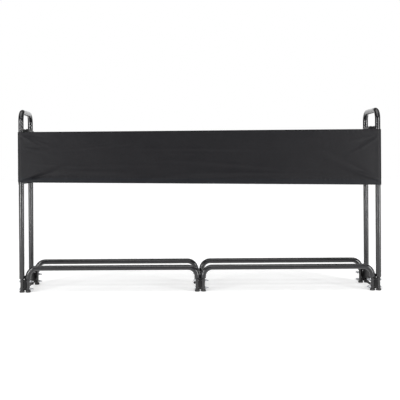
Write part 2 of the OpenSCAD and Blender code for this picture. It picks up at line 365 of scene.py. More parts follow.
def new_material(name, **shader):
    """A material with a Principled shader set up; returns it with its tree and shader."""
    material = bpy.data.materials.new(name)
    material.use_nodes = True
    tree = material.node_tree
    bsdf = tree.nodes["Principled BSDF"]
    for label, value in shader.items():
        bsdf.inputs[label.replace("_", " ")].default_value = value
    return material, tree, bsdf


def bump(tree, bsdf, height, distance, strength=1.0):
    """Raises the surface by a height map, over a distance in metres."""
    node = add(tree, "ShaderNodeBump", {"Height": height, "Distance": distance, "Strength": strength})
    tree.links.new(node.outputs["Normal"], bsdf.inputs["Normal"])


def grain_on(tree, place, scale, patch_scale):
    """Surface grain with dull patches, placed in a material."""
    return use_group(tree, "Surface grain", build_grain, {
        "Vector": place, "Scale": scale, "Patch Scale": patch_scale})


def dust_on(tree, place, amount):
    """Settled dust, as a socket."""
    return use_group(tree, "Settled dust", build_dust, {"Vector": place, "Amount": amount}).outputs["Mask"]


def scuffs_on(tree, place, scale, amount):
    """Hairline scuffs, as a socket."""
    return use_group(tree, "Hairline scuffs", build_scuffs, {
        "Vector": place, "Scale": scale, "Amount": amount}).outputs["Mask"]


def powder_coat_material(name, colour, smooth_rough, worn_rough, grain_scale, coat, shine):
    """Semi-gloss or satin powder coat with orange peel, dull patches, light dust and hairline scuffs."""
    material, tree, bsdf = new_material(
        name, Coat_Weight=coat, Coat_Roughness=0.08, Specular_IOR_Level=shine)
    place = object_place(tree)
    grain = grain_on(tree, place, grain_scale, 11.0)
    dust = dust_on(tree, place, 0.16)
    scuffs = scuffs_on(tree, place, 18.0, 0.5)
    tint = blend_colour(tree, grain.outputs["Patches"], colour, tinted(colour, 1.35))
    scuffed = blend_colour(tree, scuffs, tint, (0.035, 0.035, 0.037))
    dusty = blend_colour(tree, dust, scuffed, (0.16, 0.15, 0.14))
    tree.links.new(dusty, bsdf.inputs["Base Color"])
    rough = remap(tree, grain.outputs["Patches"], 0.3, 0.7, smooth_rough, worn_rough)
    rough = calc(tree, "ADD", rough, calc(tree, "MULTIPLY", dust, 0.5))
    tree.links.new(rough, bsdf.inputs["Roughness"])
    bump(tree, bsdf, grain.outputs["Height"], 0.00022, 0.12)
    return material


def zinc_material(name, colour):
    """Bright zinc plating with faint crystals, dull patches and tool marks."""
    material, tree, bsdf = new_material(name, Metallic=1.0)
    place = object_place(tree)
    crystals = add(tree, "ShaderNodeTexVoronoi", {"Vector": place, "Scale": 700.0})
    grain = grain_on(tree, place, 1500.0, 90.0)
    scuffs = scuffs_on(tree, place, 160.0, 0.8)
    shade = remap(tree, crystals.outputs["Color"], 0.0, 1.0, 0.0, 0.35)
    base = blend_colour(tree, shade, colour, tinted(colour, 0.8))
    marked = blend_colour(tree, scuffs, base, (0.38, 0.38, 0.40))
    tree.links.new(marked, bsdf.inputs["Base Color"])
    rough = remap(tree, grain.outputs["Patches"], 0.3, 0.7, 0.24, 0.42)
    tree.links.new(rough, bsdf.inputs["Roughness"])
    bump(tree, bsdf, grain.outputs["Height"], 0.00006, 0.6)
    return material


def cap_material(name, colour):
    """Matt moulded plastic, scuffed and dusty near the ground."""
    material, tree, bsdf = new_material(name, Specular_IOR_Level=0.4)
    place = object_place(tree)
    grain = grain_on(tree, place, 900.0, 60.0)
    dust = dust_on(tree, place, 0.35)
    base = blend_colour(tree, grain.outputs["Patches"], colour, tinted(colour, 1.6))
    dusty = blend_colour(tree, dust, base, (0.12, 0.115, 0.105))
    tree.links.new(dusty, bsdf.inputs["Base Color"])
    tree.links.new(remap(tree, grain.outputs["Patches"], 0.3, 0.7, 0.5, 0.72), bsdf.inputs["Roughness"])
    bump(tree, bsdf, grain.outputs["Height"], 0.00015, 0.6)
    return material


OXFORD_THREAD = 0.0011


def cloth_material(name, colour, hem_reflection_colour):
    """Coated Oxford cloth: fine basket weave under a thin film, with faint cloudy creasing."""
    material, tree, bsdf = new_material(name, Specular_IOR_Level=0.13)
    flat_map = cloth_map(tree)
    place = object_place(tree)
    weave = use_group(tree, "Basket weave", build_weave, {"Vector": flat_map, "Thread": OXFORD_THREAD})
    dust = dust_on(tree, place, 0.10)
    # The doubled hem rows take the hem colour, which is a bluish painted reflection.
    doubled = add(tree, "ShaderNodeAttribute", attribute_name="doubled").outputs["Fac"]
    base = blend_colour(tree, doubled, colour, hem_reflection_colour)
    slubbed = blend_colour(tree, remap(tree, weave.outputs["Shade"], 0.3, 0.7, 0.0, 1.0),
                           base, tinted(colour, 1.25))
    # Painted shade: the low hollows of the weave are darkened as if in shadow.
    weave_hollow_shade = blend_colour(tree, remap(tree, weave.outputs["Height"], 0.0, 0.6, 0.45, 0.0), slubbed,
                           tinted(colour, 0.45))
    dusty = blend_colour(tree, dust, weave_hollow_shade, (0.10, 0.10, 0.10))
    tree.links.new(dusty, bsdf.inputs["Base Color"])
    clouds = noise(tree, place, 9.0, 4.0, 0.55)
    tree.links.new(remap(tree, clouds, 0.3, 0.7, 0.36, 0.46), bsdf.inputs["Roughness"])
    crumple = noise(tree, place, 34.0, 5.0, 0.55)
    weave_part = calc(tree, "MULTIPLY", weave.outputs["Height"], 0.10)
    bump(tree, bsdf, calc(tree, "ADD", weave_part, crumple), 0.0016, 0.55)
    return material


def tape_material(name, colour, rib):
    """Woven binding tape with fine ribs across it."""
    material, tree, bsdf = new_material(name, Specular_IOR_Level=0.2, Sheen_Weight=0.04,
                                        Sheen_Roughness=0.4)
    flat_map = cloth_map(tree)
    weave = use_group(tree, "Basket weave", build_weave, {"Vector": flat_map, "Thread": rib})
    run = add(tree, "ShaderNodeSeparateXYZ", {0: flat_map}).outputs["X"]
    ribs = calc(tree, "ABSOLUTE", calc(tree, "SINE", calc(tree, "MULTIPLY", run, math.pi / rib)))
    # Painted shade and highlight: the rib troughs are darkened and the rib crests lightened.
    base = blend_colour(tree, ribs, tinted(colour, 0.5), tinted(colour, 1.4))
    shaded = blend_colour(tree, weave.outputs["Shade"], base, colour)
    tree.links.new(shaded, bsdf.inputs["Base Color"])
    tree.links.new(remap(tree, weave.outputs["Shade"], 0.3, 0.7, 0.6, 0.8), bsdf.inputs["Roughness"])
    bump(tree, bsdf, calc(tree, "ADD", ribs, calc(tree, "MULTIPLY", weave.outputs["Height"], 0.4)), 0.0003)
    return material


def fuzz_material(name, colour):
    """Hook-and-loop tape: a matt, fuzzy face of small loops."""
    material, tree, bsdf = new_material(name, Specular_IOR_Level=0.15, Sheen_Weight=0.10,
                                        Sheen_Roughness=0.6)
    flat_map = cloth_map(tree)
    loops = add(tree, "ShaderNodeTexVoronoi", {"Vector": flat_map, "Scale": 900.0})
    fuzz = noise(tree, flat_map, 2400.0, 3.0)
    height = calc(tree, "ADD", calc(tree, "SUBTRACT", 1.0, loops.outputs["Distance"]), fuzz)
    # Painted shade and highlight: the hollows between the loops are darker and the loop tops lighter.
    base = blend_colour(tree, remap(tree, height, 0.6, 1.6, 0.0, 1.0),
                        tinted(colour, 0.5), tinted(colour, 2.0))
    tree.links.new(base, bsdf.inputs["Base Color"])
    tree.links.new(remap(tree, fuzz, 0.3, 0.7, 0.75, 0.95), bsdf.inputs["Roughness"])
    bump(tree, bsdf, height, 0.0005, 0.8)
    return material


def floor_material(name, colour):
    """Plain pale studio floor with a faint unevenness."""
    material, tree, bsdf = new_material(name, Specular_IOR_Level=0.1)
    place = object_place(tree)
    uneven = noise(tree, place, 1.5, 3.0)
    base = blend_colour(tree, uneven, colour, tinted(colour, 0.985))
    tree.links.new(base, bsdf.inputs["Base Color"])
    tree.links.new(remap(tree, uneven, 0.3, 0.7, 0.85, 0.95), bsdf.inputs["Roughness"])
    bsdf.inputs["Emission Color"].default_value = (1, 1, 1, 1)
    bsdf.inputs["Emission Strength"].default_value = 0.40
    return material


def material_for(name):
    """The material of this name, made the first time it is asked for."""
    steel = bpy.context.scene.rack_steel
    hardware = bpy.context.scene.rack_hardware
    cover = bpy.context.scene.rack_cover
    makers = {
        "tube coat": lambda: powder_coat_material(name, list(steel.coat_colour), 0.15, 0.22, 420.0, 0.25,
                                                  0.45),
        "bracket coat": lambda: powder_coat_material(name, list(steel.bracket_colour), 0.40, 0.52, 520.0,
                                                     0.0, 0.16),
        "bright zinc": lambda: zinc_material(name, list(hardware.zinc_colour)),
        "cap plastic": lambda: cap_material(name, list(hardware.cap_colour)),
        "coated cloth": lambda: cloth_material(name, list(cover.cloth_colour), list(cover.hem_reflection_colour)),
        "binding tape": lambda: tape_material(name, list(cover.tape_colour), 0.0016),
        "hook and loop": lambda: fuzz_material(name, list(cover.tab_colour)),
        "seam thread": lambda: tape_material(name, list(cover.stitch_colour), 0.0009),
    }
    return bpy.data.materials.get(name) or makers[name]()


def finish_with(piece, material_name):
    """Gives a piece one material in all its slots."""
    material = material_for(material_name)
    if not piece.material_slots:
        piece.data.materials.append(material)
    for slot in piece.material_slots:
        slot.material = material


# ---------------------------------------------------------------- modelling

def start(name, primitive, **settings):
    """Adds a primitive with nothing else selected, places it in its own mesh and names it."""
    bpy.ops.object.select_all(action="DESELECT")
    primitive(**settings)
    piece = bpy.context.active_object
    bpy.ops.object.transform_apply(location=True, rotation=True, scale=True)
    piece.name = name
    piece.data.name = name
    return piece


def select_only(piece):
    """Selects one piece and makes it active."""
    bpy.ops.object.select_all(action="DESELECT")
    bpy.context.view_layer.objects.active = piece
    piece.select_set(True)


def edit(piece):
    """Opens a piece in edit mode with all of it selected."""
    select_only(piece)
    bpy.ops.object.mode_set(mode="EDIT")
    bpy.ops.mesh.select_mode(type="FACE")
    bpy.ops.mesh.select_all(action="SELECT")


def done():
    """Leaves edit mode."""
    bpy.ops.object.mode_set(mode="OBJECT")


def pick_faces(piece, wanted):
    """Selects, in edit mode, the faces whose centre and normal pass the test."""
    bpy.ops.mesh.select_all(action="DESELECT")
    cells = bmesh.from_edit_mesh(piece.data)
    for face in cells.faces:
        face.select_set(wanted(face.calc_center_median(), face.normal))
    bmesh.update_edit_mesh(piece.data)


def tidy_shell(piece):
    """Merges doubles, drops loose bits and turns the faces outwards."""
    edit(piece)
    bpy.ops.mesh.remove_doubles(threshold=MERGE)
    bpy.ops.mesh.dissolve_degenerate(threshold=1e-7)
    bpy.ops.mesh.delete_loose(use_verts=True, use_edges=True, use_faces=False)
    bpy.ops.mesh.select_all(action="SELECT")
    bpy.ops.mesh.normals_make_consistent(inside=False)
    done()


def use_modifier(piece, kind, **settings):
    """Adds a modifier and applies it."""
    select_only(piece)
    modifier = piece.modifiers.new(kind.title(), kind)
    for name, value in settings.items():
        setattr(modifier, name, value)
    bpy.ops.object.modifier_apply(modifier=modifier.name)


def smooth(piece, angle=35):
    """Shades a piece smooth, apart from edges sharper than the angle in degrees."""
    select_only(piece)
    bpy.ops.object.shade_smooth_by_angle(angle=math.radians(angle))


def arc(centre, radius, first, last, steps):
    """Points along an arc, from one angle in degrees to another."""
    angles = [math.radians(first + (last - first) * i / steps) for i in range(steps + 1)]
    return [(centre[0] + radius * math.cos(a), centre[1] + radius * math.sin(a)) for a in angles]


def turned(name, outline, steps=40):
    """Turns a closed outline of (distance along X, radius) points round the X axis."""
    piece = start(name, bpy.ops.mesh.primitive_circle_add, vertices=len(outline), fill_type="NOTHING")
    for vertex, (along, radius) in zip(piece.data.vertices, outline):
        vertex.co = (along, 0.0, radius)
    edit(piece)
    bpy.ops.mesh.select_mode(type="VERT")
    bpy.ops.mesh.select_all(action="SELECT")
    bpy.ops.mesh.spin(steps=steps, angle=math.tau, center=(0, 0, 0), axis=(1, 0, 0))
    done()
    tidy_shell(piece)
    return piece


def joined(name, parts):
    """Joins parts into one piece."""
    bpy.ops.object.select_all(action="DESELECT")
    for part in parts:
        part.select_set(True)
    bpy.context.view_layer.objects.active = parts[0]
    if len(parts) > 1:
        bpy.ops.object.join()
    parts[0].name = name
    parts[0].data.name = name
    return parts[0]


def stamped(name, master, places):
    """Copies a master, each copy with its own mesh, to each place, as one piece."""
    copies = []
    for place in places:
        copy = master.copy()
        copy.data = master.data.copy()
        copy.data.transform(place)
        bpy.context.collection.objects.link(copy)
        copies.append(copy)
    return joined(name, copies)


def discard(*pieces):
    """Removes masters that were only modelled to be copied."""
    for piece in pieces:
        bpy.data.objects.remove(piece)


def settle(piece, body, material_name, slot, *nodes):
    """Gives a finished piece its material and its body, and hides the nodes it stands for."""
    finish_with(piece, material_name)
    if body:
        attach(piece, body)
    if nodes:
        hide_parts(*nodes)


def fit_copies(name, master, places, angle, material_name, slot, *nodes):
    """Copies a master to its places on the frame, as one shaded and finished piece."""
    piece = stamped(name, master, places)
    smooth(piece, angle)
    settle(piece, "frame", material_name, slot, *nodes)


# ---------------------------------------------------------------- steel

class RACK_OT_steel(bpy.types.Operator):
    """Finishes the bent tubes and the posts between the legs"""
    bl_idname = "rack.steel"
    bl_label = "Steel tubes"

    def execute(self, context):
        for name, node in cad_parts.items():
            if name.startswith(("end_frame", "rail")):
                finish_with(node, "tube coat")
            if name.startswith("cross_posts"):
                finish_with(node, "bracket coat")
        return {"FINISHED"}


def plate(name, node):
    """A steel plate of a node's size, with rounded edges and a shallow pressed line along it."""
    low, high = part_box(node)
    size = high - low
    piece = start(name, bpy.ops.mesh.primitive_cube_add, size=1.0, location=(low + high) / 2, scale=size)
    edit(piece)
    pick_faces(piece, lambda centre, normal: abs(normal.x) > 0.9)
    bpy.ops.mesh.inset(thickness=size.z * 0.28, depth=0.0, use_individual=True)
    bpy.ops.mesh.inset(thickness=size.z * 0.06, depth=-0.7 * MM, use_individual=True)
    done()
    rounding = bpy.context.scene.rack_steel.plate_edge
    use_modifier(piece, "BEVEL", width=rounding, segments=3, limit_method="ANGLE",
                 angle_limit=math.radians(50))
    smooth(piece)
    return piece


def weld_bead(name, length, radius):
    """A rippled weld bead along X, from 0 to its length."""
    ripples = round(length / (1.5 * MM))
    ridge = []
    for i in range(2 * ripples + 1):
        swell = 1.0 if i % 2 else 0.84
        taper = min(1.0, 0.35 + i / 3, 0.35 + (2 * ripples - i) / 3)
        ridge.append((length * i / (2 * ripples), radius * swell * taper))
    return turned(name, [(0.0, 0.0)] + ridge + [(length, 0.0)], 10)


class RACK_OT_brackets(bpy.types.Operator):
    """Models the cross plates between the front and back legs, with their weld beads"""
    bl_idname = "rack.brackets"
    bl_label = "Cross brackets"

    def execute(self, context):
        radius = context.scene.rack_steel.weld_radius
        for side in SIDES:
            for kind in ("cross_panel", "cross_tie"):
                node = f"{kind}_{side}"
                piece = plate(f"{kind}_plate_{side}", node)
                settle(piece, "frame", "bracket coat", "bracket_coat", node)
                low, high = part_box(node)
                margin = 3 * MM
                bead = weld_bead("bead", high.z - low.z - 2 * margin, radius)
                places = [
                    Matrix.Translation((x, y, low.z + margin)) @ STAND_UP
                    for x in (low.x - 0.3 * MM, high.x + 0.3 * MM)
                    for y in (low.y + 0.6 * MM, high.y - 0.6 * MM)]
                fit_copies(f"{kind}_welds_{side}", bead, places, 60, "bracket coat", "bracket_coat")
                discard(bead)
        return {"FINISHED"}


class RACK_OT_foot_caps(bpy.types.Operator):
    """Models the moulded caps under the legs"""
    bl_idname = "rack.foot_caps"
    bl_label = "Foot caps"

    def execute(self, context):
        hardware = context.scene.rack_hardware
        low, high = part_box("caps_front_left")
        outer = (high.y - low.y) / 2
        height = high.z
        sole = 2.2 * MM
        lip = 1.6 * MM
        draft = 0.5 * MM
        groove = 0.5 * MM
        outline = [(0.0, 0.0), (0.0, outer - 5 * MM), (0.5 * MM, outer - 4.2 * MM),
                   (0.5 * MM, outer - 3.4 * MM)]
        outline += arc((sole, outer - sole), sole, 180, 90, 6)
        outline += [(height * 0.42, outer - draft / 2), (height * 0.45, outer - draft / 2 - groove),
                    (height * 0.52, outer - draft / 2 - groove), (height * 0.55, outer - draft / 2)]
        outline += arc((height - lip, outer - draft - lip), lip, 90, 0, 6)
        outline += [(height - 0.7 * MM, hardware.neck_radius + 0.8 * MM),
                    (height - 1.2 * MM, hardware.neck_radius),
                    (hardware.cap_floor, hardware.neck_radius), (hardware.cap_floor, 0.0)]
        cap = turned("cap", outline, 48)
        for row, side in FEET:
            node = f"caps_{row}_{side}"
            low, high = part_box(node)
            y = (low.y + high.y) / 2
            places = [Matrix.Translation((x, y, 0)) @ STAND_UP for x in (low.x + outer, high.x - outer)]
            fit_copies(f"foot_caps_{row}_{side}", cap, places, 40, "cap plastic", "cap_plastic", node)
        discard(cap)
        return {"FINISHED"}


# ---------------------------------------------------------------- fasteners

def bolt_places(row, side):
    """Where a foot's two bolts bear under their heads, pointing to their nuts, and which way they point."""
    low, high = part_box(f"bolts_{row}_{side}")
    nut_low, nut_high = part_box(f"wing_nuts_{row}_{side}")
    way = 1.0 if nut_low.x + nut_high.x > low.x + high.x else -1.0
    head_height = bpy.context.scene.rack_hardware.head_height
    corner = (high.y - low.y) / math.sqrt(3)
    bearing = low.x + head_height if way > 0 else high.x - head_height
    turn = Matrix.Rotation(0.0 if way > 0 else math.pi, 4, "Z")
    y = (low.y + high.y) / 2
    return [Matrix.Translation((bearing, y, z)) @ turn for z in (low.z + corner, high.z - corner)], way


def thread_ridge(name, begin, length, radius, pitch):
    """A helical thread ridge along X."""
    depth = 0.6 * pitch
    piece = start(name, bpy.ops.mesh.primitive_circle_add, vertices=3, fill_type="NOTHING")
    corners = ((0.06, -depth), (0.5, 0.0), (0.94, -depth))
    for vertex, (share, drop) in zip(piece.data.vertices, corners):
        vertex.co = (begin + share * pitch, 0.0, radius + drop)
    use_modifier(piece, "SCREW", axis="X", angle=math.tau, screw_offset=pitch, steps=20, render_steps=20,
                 iterations=int(length / pitch) - 1)
    edit(piece)
    bpy.ops.mesh.select_mode(type="EDGE")
    bpy.ops.mesh.select_all(action="SELECT")
    bpy.ops.mesh.fill_holes(sides=4)
    done()
    tidy_shell(piece)
    return piece


def hex_bolt(hardware, flats, length):
    """A hexagon bolt along X: chamfered head behind 0, plain shank, then a thread with a bevelled tip."""
    head_h = hardware.head_height
    radius = hardware.shank_radius
    corner = flats / math.sqrt(3)
    head = start("head", bpy.ops.mesh.primitive_cylinder_add, vertices=6, radius=corner, depth=head_h,
                 location=(-head_h / 2, 0, 0), rotation=(0, math.pi / 2, 0))
    chamfer = turned("chamfer", [
        (-head_h - 0.01 * MM, 0.0), (-head_h - 0.01 * MM, flats / 2 - 0.4 * MM),
        (-head_h + 1.1 * MM, corner + 0.1 * MM), (-0.5 * MM, corner + 0.1 * MM),
        (-0.4 * MM, flats / 2 - 0.1 * MM),
        (0.0, flats / 2 - 0.2 * MM), (0.0, 0.0)], 60)
    use_modifier(head, "BOOLEAN", operation="INTERSECT", object=chamfer, solver="EXACT")
    use_modifier(head, "BEVEL", width=0.25 * MM, segments=2, limit_method="ANGLE",
                 angle_limit=math.radians(30))
    root = radius - 0.6 * hardware.pitch
    thread_at = length - hardware.thread_length
    shank = turned("shank", [
        (-1 * MM, 0.0), (-1 * MM, radius), (thread_at - 1 * MM, radius), (thread_at, root),
        (length - 1.6 * MM, root), (length, root - 0.9 * MM), (length, 0.0)], 28)
    ridge = thread_ridge("ridge", thread_at, hardware.thread_length - 0.8 * MM, radius, hardware.pitch)
    discard(chamfer)
    return joined("bolt", [head, shank, ridge])


class RACK_OT_bolts(bpy.types.Operator):
    """Models the hexagon bolts through the feet"""
    bl_idname = "rack.bolts"
    bl_label = "Bolts"

    def execute(self, context):
        low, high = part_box("bolts_front_left")
        hardware = context.scene.rack_hardware
        bolt = hex_bolt(hardware, high.y - low.y, high.x - low.x - hardware.head_height)
        for row, side in FEET:
            places, _ = bolt_places(row, side)
            fit_copies(f"hex_bolts_{row}_{side}", bolt, places, 30, "bright zinc", "zinc_plate",
                       f"bolts_{row}_{side}")
        discard(bolt)
        return {"FINISHED"}


class RACK_OT_washers(bpy.types.Operator):
    """Models the washers under the bolt heads and the wing nuts"""
    bl_idname = "rack.washers"
    bl_label = "Washers"

    def execute(self, context):
        low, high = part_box("washers_front_centre")
        outer = (high.y - low.y) / 2
        thickness = 1.6 * MM
        edge = 0.35 * MM
        bore = context.scene.rack_hardware.washer_bore
        outline = arc((edge, outer - edge), edge, 180, 90, 3) + arc((thickness - edge, outer - edge), edge,
                                                                    90, 0, 3)
        outline += [(thickness, bore + edge / 2), (thickness - edge / 2, bore), (edge / 2, bore),
                    (0.0, bore + edge / 2)]
        washer = turned("washer", outline, 40)
        for row, side in FEET:
            node = f"washers_{row}_{side}"
            low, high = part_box(node)
            y = (low.y + high.y) / 2
            places = [
                Matrix.Translation((x, y, z))
                for x in (low.x, high.x - thickness) for z in (low.z + outer, high.z - outer)]
            fit_copies(f"flat_washers_{row}_{side}", washer, places, 30, "bright zinc", "zinc_plate", node)
        discard(washer)
        return {"FINISHED"}


def wing(name, hardware, height, span, side):
    """One cast wing, drawn out of the hub in steps and rounded by subdivision."""
    base = hardware.hub_height * 0.5
    piece = start(name, bpy.ops.mesh.primitive_cube_add, size=1.0,
                  location=(base, 0, hardware.hub_radius * 0.62),
                  scale=(hardware.hub_height * 0.7, hardware.wing_thickness * 1.25, 4 * MM))
    edit(piece)
    pick_faces(piece, lambda centre, normal: normal.z > 0.9)
    half = span / 2
    reach = hardware.hub_radius * 0.62 + 2 * MM
    pulls = (
        ((1.5 * MM, 0, (half - reach) * 0.34), (1.0, 0.85, 1.0)),
        ((3.4 * MM, 0, (half - reach) * 0.40), (1.15, 0.9, 1.0)),
        ((2.6 * MM, 0, (half - reach) * 0.24), (0.78, 0.95, 1.0)))
    for pull, shrink in pulls:
        bpy.ops.mesh.extrude_region_move(TRANSFORM_OT_translate={"value": pull})
        cells = bmesh.from_edit_mesh(piece.data)
        centre = next(face for face in cells.faces if face.select).calc_center_median()
        bpy.ops.transform.resize(value=shrink, center_override=centre)
    done()
    use_modifier(piece, "SUBSURF", levels=2, render_levels=2)
    top = max(vertex.co.x for vertex in piece.data.vertices)
    far = max(vertex.co.z for vertex in piece.data.vertices)
    near = hardware.hub_radius * 0.5
    for vertex in piece.data.vertices:
        if vertex.co.x > hardware.hub_height * 0.3:
            lift = (vertex.co.x - hardware.hub_height * 0.3) / (top - hardware.hub_height * 0.3)
            vertex.co.x = hardware.hub_height * 0.3 + lift * (height - hardware.hub_height * 0.3)
        if vertex.co.z > near:
            vertex.co.z = near + (vertex.co.z - near) * (half - near) / (far - near)
    if side < 0:
        piece.data.transform(Matrix.Rotation(math.pi, 4, "X"))
    return piece


class RACK_OT_wing_nuts(bpy.types.Operator):
    """Models the cast wing nuts on the inner ends of the bolts"""
    bl_idname = "rack.wing_nuts"
    bl_label = "Wing nuts"

    def execute(self, context):
        hardware = context.scene.rack_hardware
        low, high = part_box("wing_nuts_front_left")
        height = high.x - low.x
        span = (high.y - low.y) / math.cos(hardware.wing_turn) * 1.035
        hub_h, base_r = hardware.hub_height, hardware.hub_radius
        bore = hardware.shank_radius + 0.05 * MM
        soften = 0.8 * MM
        outline = [(0.0, bore + 0.4 * MM), (0.0, base_r - soften)]
        outline += arc((soften, base_r - soften), soften, 180, 90, 4)[1:]
        outline += arc((hub_h - 1.2 * MM, base_r - 1.3 * MM - 1.2 * MM), 1.2 * MM, 80, 0, 5)
        outline += [(hub_h, bore + 0.5 * MM), (hub_h - 0.5 * MM, bore), (0.4 * MM, bore)]
        hub = turned("hub", outline, 32)
        wings = [wing(name, hardware, height, span, side) for name, side in (("wing_a", 1), ("wing_b", -1))]
        nut = joined("nut", [hub, *wings])
        upright = Matrix.Rotation(math.pi / 2 - hardware.wing_turn, 4, "X")
        for row, side in FEET:
            node = f"wing_nuts_{row}_{side}"
            low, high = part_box(node)
            bolts, way = bolt_places(row, side)
            seat = low.x if way > 0 else high.x
            places = [
                Matrix.Translation((seat, bolt.translation.y, bolt.translation.z))
                @ bolt.to_3x3().to_4x4() @ upright for bolt in bolts]
            fit_copies(f"cast_wing_nuts_{row}_{side}", nut, places, 45, "bright zinc", "zinc_plate", node)
        discard(nut)
        return {"FINISHED"}


# ---------------------------------------------------------------- cloth

def ease(low, high, value):
    """Rises smoothly from 0 at low to 1 at high."""
    t = np.clip((value - low) / (high - low), 0.0, 1.0)
    return t * t * (3 - 2 * t)


def points_of(piece):
    """The piece's points, one to a row."""
    flat = np.empty(len(piece.data.vertices) * 3)
    piece.data.vertices.foreach_get("co", flat)
    return flat.reshape(-1, 3)


def set_points(piece, points):
    """Moves the piece's points."""
    piece.data.vertices.foreach_set("co", points.ravel())
    piece.data.update()


def shaped_grid(name, columns, rows, place, size):
    """A grid whose points a function of (across, down), each from 0 to 1, places; its map is in metres."""
    piece = start(name, bpy.ops.mesh.primitive_grid_add, x_subdivisions=columns, y_subdivisions=rows,
                  size=2)
    flat = points_of(piece)
    across, down = (flat[:, 0] + 1) / 2, (flat[:, 1] + 1) / 2
    points = np.stack(place(across, down), axis=1)
    corners = np.empty(len(piece.data.loops), dtype=np.int32)
    piece.data.loops.foreach_get("vertex_index", corners)
    layer = piece.data.uv_layers[0]
    layer.name = "Cloth"
    metres = np.stack([across[corners] * size[0], down[corners] * size[1]], axis=1)
    layer.data.foreach_set("uv", metres.ravel())
    set_points(piece, points)
    return piece


def mark(piece, name, values):
    """Stores one number for each point of a piece."""
    attribute = piece.data.attributes.new(name, "FLOAT", "POINT")
    attribute.data.foreach_set("value", values.astype(np.float32))


def faces_towards(piece, direction):
    """Turns a sheet over if its faces, on the whole, look away from a direction."""
    normals = np.empty(len(piece.data.polygons) * 3)
    piece.data.polygons.foreach_get("normal", normals)
    if normals.reshape(-1, 3).sum(axis=0) @ np.array(direction) < 0:
        edit(piece)
        bpy.ops.mesh.flip_normals()
        done()


def cloth_body(piece, thickness):
    """Gives a sheet its thickness, evenly on both faces, and shades it smooth."""
    use_modifier(piece, "SOLIDIFY", thickness=thickness, offset=0.0, use_even_offset=False)
    smooth(piece, 60)


def fan(x, z, corner, heading, spread, folds, reach, height, seed):
    """Tension folds that run out from a corner, widening and fading with distance."""
    rng = np.random.default_rng(seed)
    dx, dz = x - corner[0], z - corner[1]
    distance = np.hypot(dx, dz)
    total = np.zeros_like(x)
    for i in range(folds):
        way = math.radians(heading + spread * ((i + rng.uniform(0.2, 0.8)) / folds - 0.5))
        along = dx * math.cos(way) + dz * math.sin(way)
        off = -dx * math.sin(way) + dz * math.cos(way)
        bend = rng.uniform(-0.06, 0.06) * along * along / reach
        wide = 3.5 * MM + 0.045 * np.maximum(along, 0.0)
        gain = height * rng.uniform(0.45, 1.0) * (1 if rng.uniform() < 0.4 else -1)
        fade = ease(0.0, 0.04, along) * np.exp(-((distance / (reach * rng.uniform(0.6, 1.2))) ** 2))
        t = (off - bend) / wide
        total += gain * fade * (np.exp(-t * t) - 0.6 * np.exp(-((t - 1.7) ** 2)))
    return total


def long_folds(x, z, low, high, count, height, seed):
    """Faint folds that run along the cloth, drifting up and down a little."""
    rng = np.random.default_rng(seed)
    total = np.zeros_like(x)
    for _ in range(count):
        centre = rng.uniform(-1.0, 1.0)
        length = rng.uniform(0.18, 0.5)
        level = rng.uniform(low, high) + 0.02 * np.sin(x * rng.uniform(1.5, 4.0) + rng.uniform(0, 6))
        level = level + rng.uniform(-0.05, 0.05) * (x - centre)
        wide = rng.uniform(6, 18) * MM
        t = (z - level) / wide
        body = np.exp(-((x - centre) / length) ** 2) * rng.uniform(0.3, 1.0) * height
        total += body * (np.exp(-t * t) - 0.5 * np.exp(-((t + 1.5) ** 2)))
    return total


def ripple(x, count, shortest, longest, seed):
    """An even, wandering wave along a line, about 1 high."""
    rng = np.random.default_rng(seed)
    total = np.zeros_like(x)
    for _ in range(count):
        total += np.sin(x * math.tau / rng.uniform(shortest, longest) + rng.uniform(0, math.tau))
    return total / math.sqrt(count)


FLAP_R = TUBE_R + 4 * MM
WRAP = math.radians(64)
FLAP_HALF = UPRIGHT_X + FLAP_R * WRAP
FLAP_TOP = TOP_Z + 1.0 * MM
COLUMNS = 560
SEAM_ROWS, EDGE_ROWS, DROP_ROWS, TURN_ROWS, HEM_ROWS = 3, 6, 48, 6, 5
HEM_TURN = 1.1 * MM
TOP_HALF_X = UPRIGHT_X - 20 * MM
TOP_HALF_Y = UPRIGHT_Y + FLAP_R - 3 * MM
TOP_SEED = 5
SEAM_HALF = UPRIGHT_X - 46 * MM
MID_CLOTH = (0.76, 1.03)
LOW_CLOTH = (0.745, 0.80)
TAPE_HALF = 5.2 * MM
TAPE_DROP = 3.6 * MM
TAPE_GIRTH = 14 * MM


def row_marks(stretches):
    """The row at which each stretch begins, and the last row."""
    return np.cumsum([0] + [count for count, _ in stretches])


def row_shares(down, stretches, marks):
    """How far along each stretch a point lies, from 0 to 1."""
    row = down * marks[-1]
    return [np.clip((row - begin) / count, 0, 1) for begin, (count, _) in zip(marks, stretches)]


def between_legs(y):
    """1 between a loop's legs, falling to 0 at each leg."""
    return ease(UPRIGHT_Y - 12 * MM, UPRIGHT_Y - 90 * MM, np.abs(y))


def slump(x, cover):
    """How far the cover's upper edge has slipped down at each x; it sits lower at its left end."""
    return cover.top_slip * ease(UPRIGHT_X, -UPRIGHT_X, x)


def hem_level(x, cover):
    """Height of the hem at each x; the cloth hangs a little lower at one end."""
    return HEM_Z - cover.hem_drop * x / (2 * UPRIGHT_X)


